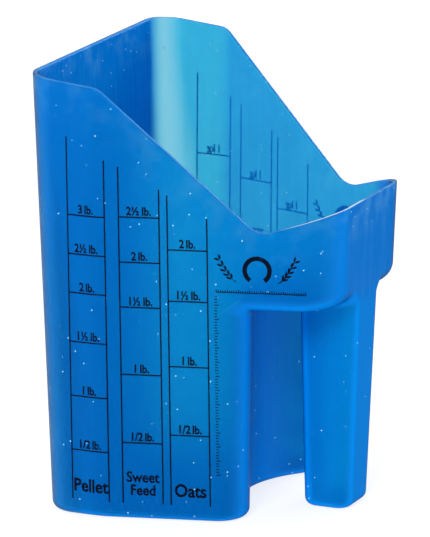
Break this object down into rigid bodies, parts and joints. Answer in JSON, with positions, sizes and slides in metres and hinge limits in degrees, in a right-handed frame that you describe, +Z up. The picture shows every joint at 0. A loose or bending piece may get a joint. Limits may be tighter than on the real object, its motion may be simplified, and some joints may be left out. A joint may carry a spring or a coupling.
{
  "type": "feed scoop",
  "caption": "Open plastic feed scoop with converging sides, a diagonal rim, printed measuring scales and a hollow handle behind a finger gap.",
  "frame": {"origin": "on the floor, under the middle of the scoop's length and width, on the chamber's underside", "axes": "+Z up, +X from the tall tip wall towards the handle, +Y across, with the pound scales at -Y and the kilogram scales at +Y"},
  "size_m": [0.1574, 0.163, 0.23],
  "materials": {
    "plastic": "translucent polypropylene, soft gloss",
    "ink": "printed ink, satin"
  },
  "bodies": {
    "root": {"scoop_body": "plastic", "pellet_scale_pounds": "ink", "sweet_feed_scale_pounds": "ink", "oats_scale_pounds": "ink", "pellet_scale_kilograms": "ink", "sweet_feed_scale_kilograms": "ink", "oats_scale_kilograms": "ink", "emblem_pounds_side": "ink", "emblem_kilograms_side": "ink"}
  },
  "joints": []
}
